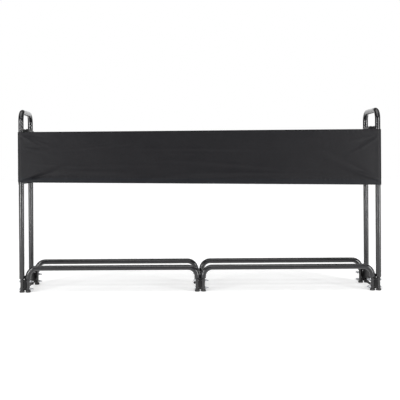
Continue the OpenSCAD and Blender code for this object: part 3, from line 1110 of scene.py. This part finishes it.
def flap_relief(x, z, cover, seed):
    """How far the flap's cloth stands out from its plane at each point."""
    height = cover.fold_height
    low = hem_level(x, cover)
    left, right = -UPRIGHT_X - 10 * MM, UPRIGHT_X + 10 * MM
    folds = fan(x, z, (left, TOP_Z - 18 * MM), -14, 40, 9, 0.15, 0.7 * height, seed)
    folds += fan(x, z, (left, TOP_Z - 105 * MM), -9, 20, 4, 0.13, 0.6 * height, seed + 9)
    folds += fan(x, z, (left - 20 * MM, HEM_Z + 16 * MM), 9, 10, 2, 0.28, -3.0 * height, seed + 1)
    folds += fan(x, z, (right, TOP_Z - 40 * MM), 198, 22, 4, 0.17, 0.7 * height, seed + 2)
    folds += fan(x, z, (right + 20 * MM, HEM_Z + 8 * MM), 165, 28, 9, 0.34, 0.7 * height, seed + 3)
    folds += long_folds(x, z, *MID_CLOTH, 9, 0.4 * height, seed + 4)
    folds += long_folds(x, z, *LOW_CLOTH, 5, 0.5 * height, seed + 5)
    swell = 2.2 * MM * ripple(x, 4, 0.5, 1.4, seed + 6) * (FLAP_TOP - z) / (FLAP_TOP - low)
    stitch_line = low + cover.hem_width
    pucker = 0.5 * MM * ripple(x, 5, 0.014, 0.034, seed + 7) * np.exp(-((z - stitch_line) / (7 * MM)) ** 2)
    seam_pucker = 0.35 * MM * ripple(x, 5, 0.018, 0.05, seed + 8)
    seam_pucker = seam_pucker * np.exp(-((z - FLAP_TOP) / (16 * MM)) ** 2)
    held = 1 - 0.9 * ease(UPRIGHT_X - 60 * MM, UPRIGHT_X - 18 * MM, np.abs(x))
    top = ease(FLAP_TOP, FLAP_TOP - 40 * MM, z)
    relief = folds * top + swell * held + pucker + seam_pucker
    near_tube = ease(UPRIGHT_X - 110 * MM, UPRIGHT_X - 15 * MM, np.abs(x))
    outward = np.sqrt(relief * relief + (0.3 * MM) ** 2) * 0.5 + relief * 0.5
    return relief * (1 - near_tube) + 0.55 * outward * near_tube


def flap_rows(cover):
    """Rows of the flap, as (count, length) stretches: seam, edge, drop, hem turn and hem."""
    return (
        (SEAM_ROWS, cover.seam_width), (EDGE_ROWS, cover.corner_radius * math.pi / 2),
        (DROP_ROWS, FLAP_TOP - HEM_Z), (TURN_ROWS, HEM_TURN * math.pi), (HEM_ROWS, cover.hem_width))


def flap_place(cover, way, seed):
    """Returns the function that places the flap's points; way is -1 for the front and 1 for the back."""
    stretches = flap_rows(cover)
    marks = row_marks(stretches)

    def place(across, down):
        s = (2 * across - 1) * FLAP_HALF
        shares = row_shares(down, stretches, marks)
        angle = np.clip(np.abs(s) - UPRIGHT_X, 0, None) / FLAP_R
        x = np.sign(s) * (np.minimum(np.abs(s), UPRIGHT_X) + FLAP_R * np.sin(angle))
        real_x = -way * s
        radius = cover.corner_radius
        seam = cover.seam_width * (1 - 0.985 * ease(UPRIGHT_X - 42 * MM, UPRIGHT_X - 26 * MM, np.abs(s)))
        low = hem_level(real_x, cover)
        edge_z = FLAP_TOP - radius - slump(-way * x, cover)
        bend = shares[1] * math.pi / 2
        roll = shares[3] * math.pi
        inward = seam * (1 - shares[0]) + radius * (1 - np.sin(bend))
        inward += HEM_TURN * (1 - np.cos(roll))
        z = edge_z + radius * np.cos(bend)
        z = z - shares[2] * (edge_z - (low + HEM_TURN)) - HEM_TURN * np.sin(roll)
        z = z + shares[4] * cover.hem_width
        relief = flap_relief(real_x, z, cover, seed) * ease(0.0, 0.02, shares[2])
        depth = relief - inward
        y = UPRIGHT_Y + np.cos(angle) * (FLAP_R + depth)
        x = x + np.sign(s) * np.sin(angle) * depth
        return (x * -way, way * y, z)

    return place, marks


def flap_hem_reflection_mask(cover, marks):
    """How much of the hem's double layer shows at each row, from the top down; these rows carry the hem's
    painted bluish reflection.
    """
    rows = np.arange(marks[-1] + 1)
    hem_rows = (marks[3] - marks[2]) * cover.hem_width / (FLAP_TOP - HEM_Z)
    return ease(marks[3] - hem_rows - 0.6, marks[3] - hem_rows + 0.2, rows)


class RACK_OT_flaps(bpy.types.Operator):
    """Drapes the front and back flaps from the edges of the top"""
    bl_idname = "rack.flaps"
    bl_label = "Front and back flaps"

    def execute(self, context):
        cover = context.scene.rack_cover
        length = sum(part for _, part in flap_rows(cover))
        for row, way, seed in FLAPS:
            place, marks = flap_place(cover, way, seed)
            piece = shaped_grid(f"{row}_flap_cloth", COLUMNS, int(marks[-1]), place,
                                (2 * FLAP_HALF, length))
            mark(piece, "doubled", np.repeat(flap_hem_reflection_mask(cover, marks), COLUMNS + 1))
            faces_towards(piece, (0, way, 0.2))
            cloth_body(piece, cover.cloth_thickness)
            settle(piece, None, "coated cloth", "cover_fabric", f"{row}_flap")
            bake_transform(piece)
        return {"FINISHED"}


def top_height(x, y, cover):
    """Height of the top's cloth: a slight sag, long folds, and lips that stand up at the slots."""
    middle = 1 - (y / TOP_HALF_Y) ** 2
    sag = cover.top_sag * middle * (1 - (x / UPRIGHT_X) ** 2) ** 0.5
    folds = long_folds(x, y, -0.12, 0.12, 12, 2.0 * MM, TOP_SEED)
    wave = 1.6 * MM * ripple(x, 4, 0.35, 0.9, TOP_SEED + 1) * middle
    lip = cover.lip_rise * between_legs(y) * np.exp(-((TOP_HALF_X - np.abs(x)) / (26 * MM)) ** 2)
    return TOP_Z - 1.0 * MM - slump(x, cover) - sag + (folds + wave) * middle + lip


class RACK_OT_cover_top(bpy.types.Operator):
    """Stretches the top of the cover between the loops"""
    bl_idname = "rack.cover_top"
    bl_label = "Cover top"

    def execute(self, context):
        cover = context.scene.rack_cover

        def place(across, down):
            x = TOP_HALF_X * (2 * across - 1)
            y = TOP_HALF_Y * (2 * down - 1)
            return (x, y, top_height(x, y, cover))

        piece = shaped_grid("cover_top_cloth", 300, 48, place, (2 * TOP_HALF_X, 2 * TOP_HALF_Y))
        faces_towards(piece, (0, 0, 1))
        cloth_body(piece, cover.cloth_thickness)
        settle(piece, "cover", "coated cloth", "cover_fabric", "cover_top")

        for side, way, _ in ENDS:

            def lip(across, down, way=way):
                y = (2 * across - 1) * (UPRIGHT_Y - 14 * MM)
                turn = down * math.tau
                x = np.full_like(y, way * TOP_HALF_X)
                height = top_height(x, y, cover)
                lean = np.arctan((height - top_height(x - way * 6 * MM, y, cover)) / (6 * MM))
                along, out = TAPE_HALF * np.cos(turn) - TAPE_DROP, 1.5 * MM * np.sin(turn)
                return (x + way * (along * np.cos(lean) - out * np.sin(lean)), y,
                        height + along * np.sin(lean) + out * np.cos(lean))

            tape = shaped_grid(f"slot_tape_{side}", 60, 20, lip, (2 * UPRIGHT_Y, TAPE_GIRTH))
            close_tube(tape)
            settle(tape, "cover", "binding tape", "cover_fabric")
        return {"FINISHED"}


def close_tube(piece):
    """Closes a grid that was rolled into a tube, ends included."""
    edit(piece)
    bpy.ops.mesh.remove_doubles(threshold=MERGE)
    bpy.ops.mesh.select_all(action="DESELECT")
    bpy.ops.mesh.select_mode(type="EDGE")
    bpy.ops.mesh.select_non_manifold()
    bpy.ops.mesh.fill_holes(sides=0)
    bpy.ops.mesh.select_all(action="SELECT")
    bpy.ops.mesh.normals_make_consistent(inside=False)
    done()
    smooth(piece, 60)


END_R = TUBE_R + 1.2 * MM
END_WRAP = math.radians(50)
END_HALF = UPRIGHT_Y + END_R * END_WRAP
TAPE_REACH = UPRIGHT_Y + END_R * math.radians(168)


def round_end(s, depth, way):
    """Places on an end panel, in x and y, that is wrapped round its uprights."""
    angle = np.clip(np.abs(s) - UPRIGHT_Y, 0, None) / END_R
    x = UPRIGHT_X + np.cos(angle) * depth
    y = np.sign(s) * (np.minimum(np.abs(s), UPRIGHT_Y) + np.sin(angle) * depth)
    return way * x, way * y


def end_lip(y, cover, way):
    """Height of an end panel's upper edge, which stands up between the loop's legs."""
    return TOP_Z - 2.6 * MM - slump(way * UPRIGHT_X, cover) + (cover.lip_rise + 3 * MM) * between_legs(y)


def end_place(cover, way, seed):
    """Returns what places an end panel's points; way is -1 for the left and 1 for the right."""
    stretches = ((44, 1.0), (TURN_ROWS, HEM_TURN * math.pi), (HEM_ROWS, 0.8 * cover.hem_width))
    marks = row_marks(stretches)

    def place(across, down):
        s = (2 * across - 1) * END_HALF
        shares = row_shares(down, stretches, marks)
        top = end_lip(s, cover, way)
        roll = shares[1] * math.pi
        z = top - shares[0] * (top - HEM_Z - HEM_TURN) - HEM_TURN * np.sin(roll)
        z = z + shares[2] * stretches[2][1]
        inward = HEM_TURN * (1 - np.cos(roll))
        middle = 1 - ease(UPRIGHT_Y - 55 * MM, UPRIGHT_Y - 20 * MM, np.abs(s))
        folds = fan(s, z, (UPRIGHT_Y, 1.03), 205, 40, 4, 0.2, 1.6 * MM, seed)
        folds += fan(s, z, (-UPRIGHT_Y, 0.77), 20, 40, 4, 0.2, 1.6 * MM, seed + 1)
        folds += 2.0 * MM * ripple(s, 3, 0.09, 0.22, seed + 2) * ease(TOP_Z, HEM_Z, z)
        lean = -1.6 * MM * ease(TOP_Z, TOP_Z + 25 * MM, z)
        relief = folds * middle + lean
        return (*round_end(s, END_R + relief - inward, way), z)

    return place, marks, stretches


class RACK_OT_cover_ends(bpy.types.Operator):
    """Hangs the end panels outside the end frames"""
    bl_idname = "rack.cover_ends"
    bl_label = "Cover ends"

    def execute(self, context):
        cover = context.scene.rack_cover
        for side, way, seed in ENDS:
            place, marks, stretches = end_place(cover, way, seed)
            drop = TOP_Z - HEM_Z + 0.6 * cover.lip_rise
            length = drop + stretches[1][1] + stretches[2][1]
            piece = shaped_grid(f"cover_end_cloth_{side}", 64, int(marks[-1]), place,
                                (2 * END_HALF, length))
            faces_towards(piece, (way, 0, 0))
            cloth_body(piece, cover.cloth_thickness)
            settle(piece, "cover", "coated cloth", "cover_fabric", f"cover_end_{side}")

            def lip(across, down, way=way):
                s = (2 * across - 1) * TAPE_REACH
                turn = down * math.tau
                edge = end_lip(s, cover, way)
                depth = END_R - 1.6 * MM * ease(TOP_Z, TOP_Z + 25 * MM, edge) + 1.1 * MM * np.sin(turn)
                return (*round_end(s, depth, way), edge + TAPE_HALF * np.cos(turn) - TAPE_DROP)

            tape = shaped_grid(f"end_tape_{side}", 150, 20, lip, (2 * TAPE_REACH, TAPE_GIRTH))
            close_tube(tape)
            settle(tape, "cover", "binding tape", "cover_fabric")
        return {"FINISHED"}


class RACK_OT_tabs(bpy.types.Operator):
    """Wraps the hook-and-loop tabs round the corners on to the end panels"""
    bl_idname = "rack.tabs"
    bl_label = "Corner tabs"

    def execute(self, context):
        cover = context.scene.rack_cover
        radius = TUBE_R + 2.6 * MM
        start_angle = math.radians(66)
        low, high = TAB_BOX
        tab_w = 38 * MM
        straight = UPRIGHT_Y - abs(high.y)
        total = radius * start_angle + straight

        for row, way, _ in FLAPS:
            tabs = []
            for side in (-1, 1):
                for base in (low.z, high.z - tab_w):

                    def place(across, down, base=base, side=side):
                        run = across * total
                        bend = np.clip(start_angle - run / radius, 0, None)
                        along = np.clip(run - radius * start_angle, 0, None)
                        corner = 6 * MM
                        end = np.clip((along - (straight - corner)) / corner, 0, 1)
                        half = tab_w / 2 - corner * (1 - np.sqrt(np.clip(1 - end * end, 0, 1)))
                        z = base + tab_w / 2 + (2 * down - 1) * half
                        curl = 1.2 * MM * ease(straight - 9 * MM, straight, along)
                        x = UPRIGHT_X + radius * np.cos(bend) + curl
                        y = UPRIGHT_Y + radius * np.sin(bend) - along
                        return (side * x, way * y, z)

                    tab = shaped_grid("tab", 30, 14, place, (total, tab_w))
                    faces_towards(tab, (side, 0.3 * way, 0))
                    tabs.append(tab)
            piece = joined(f"{row}_tab_tapes", tabs)
            cloth_body(piece, 1.0 * MM)
            settle(piece, f"{row}_flap", "hook and loop", "tab_fabric", f"{row}_tabs")
        return {"FINISHED"}


def stitch_row(name, place, length, pitch):
    """A row of short raised stitches laid along a line given as a function of distance."""
    stitch = start("stitch", bpy.ops.mesh.primitive_cylinder_add, vertices=6, radius=0.32 * MM,
                   depth=0.66 * pitch, rotation=(0, math.pi / 2, 0))
    edit(stitch)
    pick_faces(stitch, lambda centre, normal: abs(normal.x) > 0.9)
    bpy.ops.mesh.inset(thickness=0.16 * MM, depth=0.0, use_individual=True)
    done()
    for vertex in stitch.data.vertices:
        share = abs(vertex.co.x) / (0.33 * pitch)
        if math.hypot(vertex.co.y, vertex.co.z) < 0.25 * MM:
            vertex.co.x *= 1.12
        vertex.co.y -= 0.3 * MM * share * share
    count = int(length / pitch)
    use_modifier(stitch, "ARRAY", fit_type="FIXED_COUNT", count=count, use_relative_offset=False,
                 use_constant_offset=True, constant_offset_displace=(pitch, 0, 0))
    flat = points_of(stitch)
    set_points(stitch, np.stack(place(flat[:, 0] + pitch / 2, flat[:, 1], flat[:, 2]), axis=1))
    stitch.name = name
    smooth(stitch, 50)
    stitch.data.uv_layers[0].name = "Cloth"
    return stitch


class RACK_OT_stitching(bpy.types.Operator):
    """Sews the hems and seams with rows of raised stitches"""
    bl_idname = "rack.stitching"
    bl_label = "Stitching"

    def execute(self, context):
        cover = context.scene.rack_cover
        pitch = cover.stitch_length
        span = 2 * (UPRIGHT_X - 4 * MM)
        proud = cover.cloth_thickness / 2 + 0.12 * MM
        for row, way, seed in FLAPS:
            rows = []
            for above in (cover.hem_width - 3 * MM, 5 * MM):

                def place(run, out, up, above=above, way=way, seed=seed):
                    x = (run - span / 2) * -way
                    z = hem_level(x, cover) + above + up
                    stand = UPRIGHT_Y + FLAP_R + flap_relief(x, z - up, cover, seed) + proud + out
                    return (x, way * stand, z)

                rows.append(stitch_row("row", place, span, pitch))
            hem = joined(f"{row}_hem_stitches", rows)
            settle(hem, f"{row}_flap", "seam thread", "cover_fabric")

            def seam_place(run, out, up, way=way):
                x = run - SEAM_HALF
                y = UPRIGHT_Y + FLAP_R - cover.corner_radius - 8 * MM + up
                return (x * -way, way * y, FLAP_TOP - slump(-way * x, cover) + proud + out)

            seam = stitch_row(f"{row}_seam_stitches", seam_place, 2 * SEAM_HALF, pitch)
            settle(seam, "cover", "seam thread", "cover_fabric")

        for side, way, seed in ENDS:
            panel, marks, _ = end_place(cover, way, seed)
            reach = UPRIGHT_Y + 4 * MM

            def end_stitches(run, out, up, way=way, panel=panel, marks=marks):
                y = run - reach
                drop = end_lip(y, cover, way) - HEM_Z
                share = (drop - 0.8 * cover.hem_width + 3 * MM - up) / drop
                x, y, z = panel((y / END_HALF + 1) / 2, share * marks[1] / marks[-1])
                return (x + way * (proud + out), y, z)

            hem = stitch_row(f"end_hem_stitches_{side}", end_stitches, 2 * reach, pitch)
            settle(hem, "cover", "seam thread", "cover_fabric")
        return {"FINISHED"}


# ---------------------------------------------------------------- stage

STRIP_SIZE = (0.5, 2.4)


def area_light(name, place, target, size, power):
    """A rectangular softbox that looks at a point."""
    light = bpy.data.lights.new(name, "AREA")
    light.shape = "RECTANGLE"
    light.size, light.size_y = size
    light.energy = power
    lamp = bpy.data.objects.new(name, light)
    lamp.location = place
    lamp.rotation_euler = (Vector(target) - Vector(place)).to_track_quat("-Z", "Y").to_euler()
    bpy.context.collection.objects.link(lamp)


class RACK_OT_stage(bpy.types.Operator):
    """Sets the camera, the pale floor and the soft studio lights"""
    bl_idname = "rack.stage"
    bl_label = "Stage"

    def execute(self, context):
        stage = context.scene.rack_stage
        camera = bpy.data.cameras.new("camera")
        camera.sensor_width = 36.0
        camera.lens = stage.camera_lens
        camera.shift_x, camera.shift_y = stage.camera_shift
        camera.clip_start = 0.05
        camera.clip_end = 100.0
        viewer = bpy.data.objects.new("camera", camera)
        viewer.location = stage.camera_place
        viewer.rotation_euler = (math.pi / 2, stage.camera_roll, 0)
        context.collection.objects.link(viewer)
        context.scene.camera = viewer
        context.scene.view_settings.view_transform = "Standard"

        floor = start("studio_floor", bpy.ops.mesh.primitive_grid_add, x_subdivisions=8, y_subdivisions=8,
                      size=60)
        floor.data.materials.append(floor_material("studio floor", list(stage.floor_colour)))

        world = bpy.data.worlds.new("studio")
        world.use_nodes = True
        tree = world.node_tree
        tree.nodes.clear()
        seen = add(tree, "ShaderNodeBackground", {"Color": (1, 1, 1, 1), "Strength": 1.0})
        way = add(tree, "ShaderNodeTexCoord").outputs["Generated"]
        behind = add(tree, "ShaderNodeSeparateXYZ", {0: way}).outputs["Y"]
        glow = remap(tree, behind, 0.86, 0.96, stage.sky_light, stage.wall_light)
        room = add(tree, "ShaderNodeBackground", {"Color": (1, 1, 1, 1), "Strength": glow})
        ray = add(tree, "ShaderNodeLightPath")
        mixed = add(tree, "ShaderNodeMixShader", {
            0: ray.outputs["Is Camera Ray"], 1: room.outputs[0], 2: seen.outputs[0]})
        add(tree, "ShaderNodeOutputWorld", {"Surface": mixed.outputs[0]})
        context.scene.world = world

        sun = bpy.data.lights.new("overhead", "SUN")
        sun.energy = 2.0
        sun.angle = math.radians(70)
        overhead = bpy.data.objects.new("overhead", sun)
        overhead.rotation_euler = (math.radians(14), math.radians(-6), 0)
        context.collection.objects.link(overhead)
        area_light("left_strip", (-3.6, -3.8, 1.2), (-1.0, 0, 0.9), STRIP_SIZE, 150)
        area_light("right_strip", (3.9, -3.9, 1.2), (1.0, 0, 0.9), STRIP_SIZE, 170)
        area_light("front_fill", (0.2, -4.2, 4.2), (0, 0, 0.6), (3.2, 0.9), 35)
        return {"FINISHED"}


class RACK_PT_panel(bpy.types.Panel):
    """Lists the steps that build the rack"""
    bl_idname = "RACK_PT_panel"
    bl_label = "Log rack"
    bl_space_type = "VIEW_3D"
    bl_region_type = "UI"
    bl_category = "Log rack"

    def draw(self, context):
        column = self.layout.column(align=True)
        for step in STEPS:
            column.operator(step.bl_idname)
        for group in (context.scene.rack_steel, context.scene.rack_hardware,
                      context.scene.rack_cover, context.scene.rack_stage):
            box = self.layout.box()
            for name in group.bl_rna.properties.keys():
                if name not in ("rna_type", "name"):
                    box.prop(group, name)


STEPS = (
    RACK_OT_stage, RACK_OT_steel, RACK_OT_brackets, RACK_OT_foot_caps, RACK_OT_bolts, RACK_OT_washers,
    RACK_OT_wing_nuts, RACK_OT_cover_top, RACK_OT_cover_ends, RACK_OT_flaps, RACK_OT_tabs,
    RACK_OT_stitching)
SETTINGS = {
    "rack_steel": SteelSettings, "rack_hardware": HardwareSettings,
    "rack_cover": CoverSettings, "rack_stage": StageSettings}


def register():
    for group in SETTINGS.values():
        bpy.utils.register_class(group)
    for name, group in SETTINGS.items():
        setattr(bpy.types.Scene, name, bpy.props.PointerProperty(type=group))
    for step in STEPS:
        bpy.utils.register_class(step)
    bpy.utils.register_class(RACK_PT_panel)


def unregister():
    bpy.utils.unregister_class(RACK_PT_panel)
    for step in reversed(STEPS):
        bpy.utils.unregister_class(step)
    for name in SETTINGS:
        delattr(bpy.types.Scene, name)
    for group in reversed(list(SETTINGS.values())):
        bpy.utils.unregister_class(group)


def main():
    """Registers the add-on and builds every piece."""
    register()
    for step in STEPS:
        group, name = step.bl_idname.split(".")
        getattr(getattr(bpy.ops, group), name)()
    bpy.ops.object.select_all(action="DESELECT")


if __name__ == "__main__":
    main()
